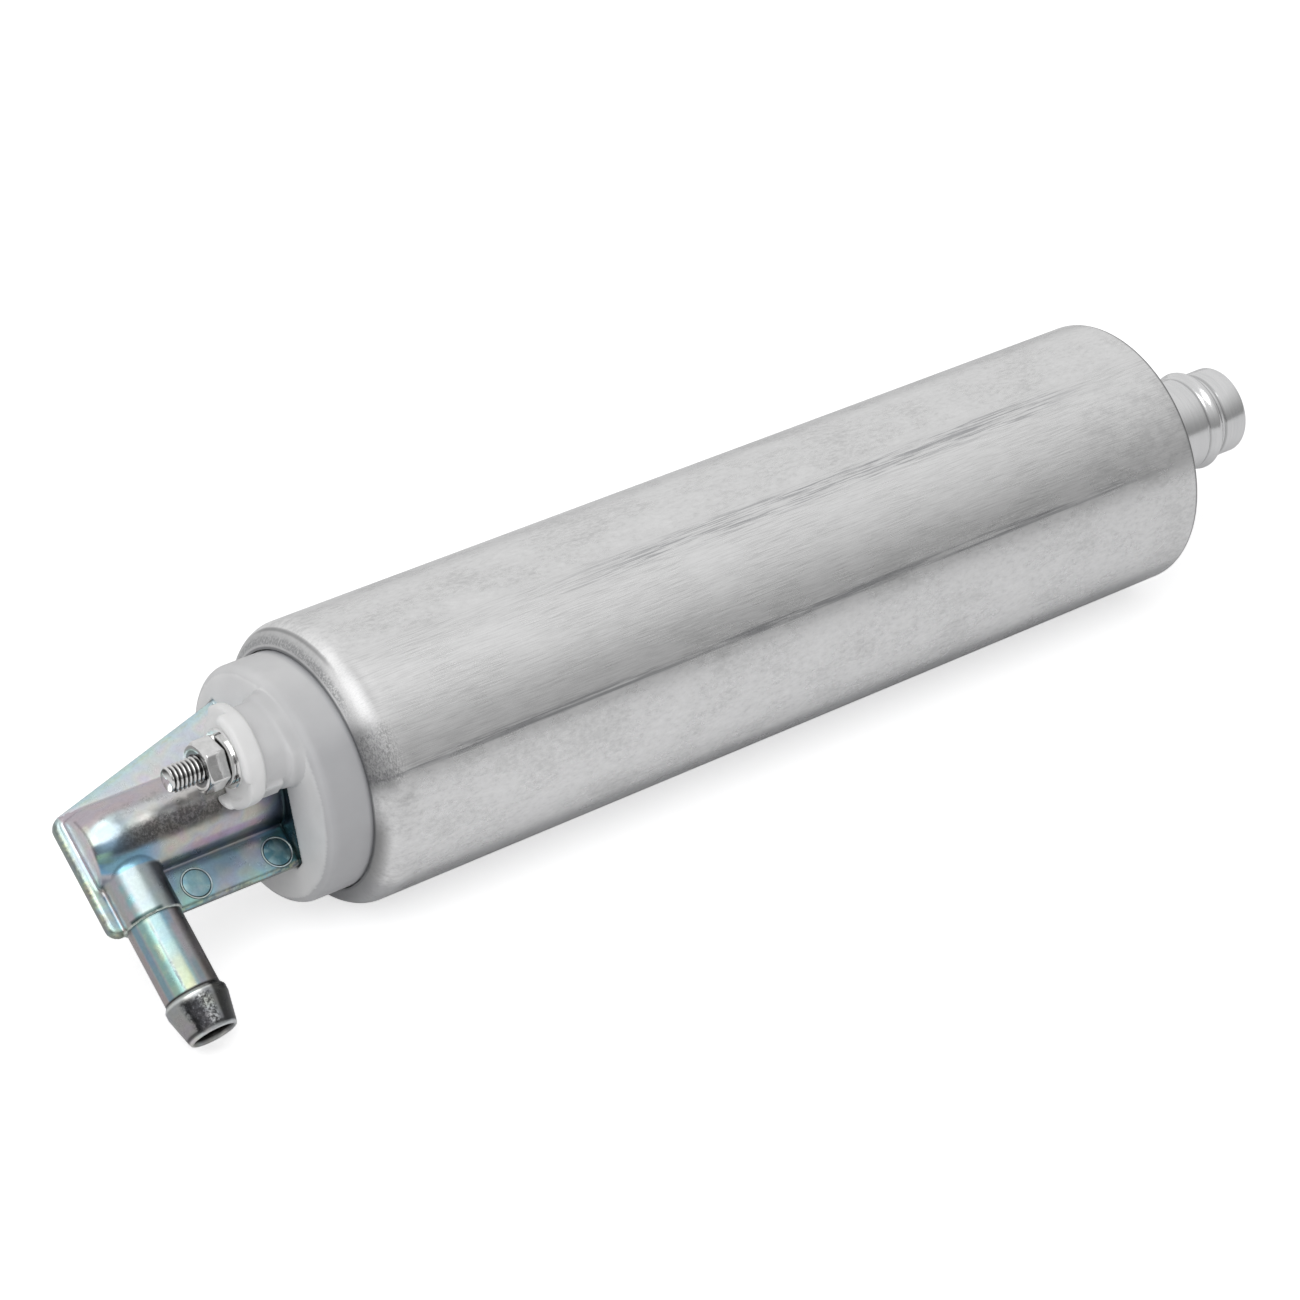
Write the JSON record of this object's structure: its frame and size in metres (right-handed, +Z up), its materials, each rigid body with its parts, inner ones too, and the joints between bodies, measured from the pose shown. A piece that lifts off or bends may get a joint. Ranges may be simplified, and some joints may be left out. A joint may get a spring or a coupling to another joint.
{
  "type": "fuel pump",
  "caption": "In-tank electric fuel pump: cylindrical metal can with an angled barbed outlet and threaded terminals at one end and a beaded inlet spigot at the other.",
  "frame": {"origin": "on the pump's axis, at the middle of the can's length", "axes": "+X along the pump's axis towards the inlet spigot, +Z up with the pump lying on its can and on the tip of the barb"},
  "size_m": [0.2193, 0.0481, 0.043],
  "materials": {
    "can_metal": "brushed",
    "cap_plastic": "satin",
    "elbow_zinc": "satin, passivated",
    "plated_steel": "bright plated",
    "spigot_metal": "polished",
    "rubber": "matte",
    "spring_steel": "satin",
    "brass": "satin",
    "black_plastic": "matte",
    "white_plastic": "satin",
    "carbon": "matte",
    "copper": "satin",
    "ferrite": "matte",
    "bronze": "satin",
    "steel": "satin",
    "core_steel": "satin",
    "red_insulation": "satin",
    "sintered_steel": "satin",
    "cast_aluminium": "satin"
  },
  "bodies": {
    "pump_body": {"casing": "can_metal", "outlet_cap": "cap_plastic", "outlet_elbow": "elbow_zinc", "elbow_o_ring": "rubber", "elbow_clip": "spring_steel", "cap_o_ring": "rubber", "terminal_studs": "plated_steel", "terminal_seals": "rubber", "terminal_nuts": "plated_steel", "spring_washers": "plated_steel", "flat_washers": "plated_steel", "check_valve_seat": "brass", "check_valve_guide": "black_plastic", "brush_holder": "black_plastic", "brush_tubes": "brass", "choke_cores": "ferrite", "choke_windings": "copper", "choke_leads": "copper", "front_bearing": "bronze", "flux_ring": "steel", "magnets": "ferrite", "magnet_clips": "spring_steel", "port_plate": "cast_aluminium", "rear_bearing": "bronze", "pump_ring": "sintered_steel", "inlet_plate": "cast_aluminium", "prestage_ring": "cast_aluminium", "inlet_cover": "cast_aluminium", "inlet_spigot": "spigot_metal", "inlet_o_ring": "rubber", "inlet_strainer": "steel", "pump_screws": "steel", "dowel_pins": "steel", "relief_seat": "brass", "relief_plug": "brass", "brush_spring_a": "spring_steel", "brush_spring_b": "spring_steel", "check_valve_spring": "spring_steel", "relief_spring": "spring_steel"},
    "armature": {"shaft": "steel", "commutator_segments": "copper", "commutator_body": "black_plastic", "lamination_stack": "core_steel", "windings": "copper", "end_insulators": "red_insulation", "thrust_washers": "bronze", "drive_key": "steel", "inner_rotor": "sintered_steel", "impeller": "black_plastic", "impeller_clip": "spring_steel"},
    "outer_gear": {"outer_rotor": "sintered_steel"},
    "brush_left": {"brush_a": "carbon", "brush_lead_a": "copper"},
    "brush_right": {"brush_b": "carbon", "brush_lead_b": "copper"},
    "check_valve": {"check_valve_poppet": "white_plastic", "poppet_seal": "rubber"},
    "relief_valve": {"relief_ball": "steel"}
  },
  "joints": [
    {"name": "armature_spin", "type": "hinge", "parent": "pump_body", "child": "armature", "pos_m": [0, 0, 0], "axis": [1, 0, 0], "continuous": true},
    {"name": "outer_gear_spin", "type": "hinge", "parent": "pump_body", "child": "outer_gear", "pos_m": [0.0385, 0.00087, 0.00067], "axis": [1, 0, 0], "continuous": true},
    {"name": "brush_left_slide", "type": "slide", "parent": "pump_body", "child": "brush_left", "axis": [-1, 0, 0], "range_m": [0, 0.0015], "stiffness_N_per_m": 250, "springref_m": -0.003, "deforming": ["brush_spring_a"]},
    {"name": "brush_right_slide", "type": "slide", "parent": "pump_body", "child": "brush_right", "axis": [-1, 0, 0], "range_m": [0, 0.0015], "stiffness_N_per_m": 250, "springref_m": -0.003, "deforming": ["brush_spring_b"]},
    {"name": "check_valve_slide", "type": "slide", "parent": "pump_body", "child": "check_valve", "axis": [-1, 0, 0], "range_m": [0, 0.0022], "stiffness_N_per_m": 100, "springref_m": -0.004, "deforming": ["check_valve_spring"]},
    {"name": "relief_valve_slide", "type": "slide", "parent": "pump_body", "child": "relief_valve", "axis": [1, 0, 0], "range_m": [0, 0.0015], "stiffness_N_per_m": 1500, "springref_m": -0.004, "deforming": ["relief_spring"]}
  ],
  "couplings": [
    {"joint": "outer_gear_spin", "follows": "armature_spin", "ratio": 0.85714}
  ]
}
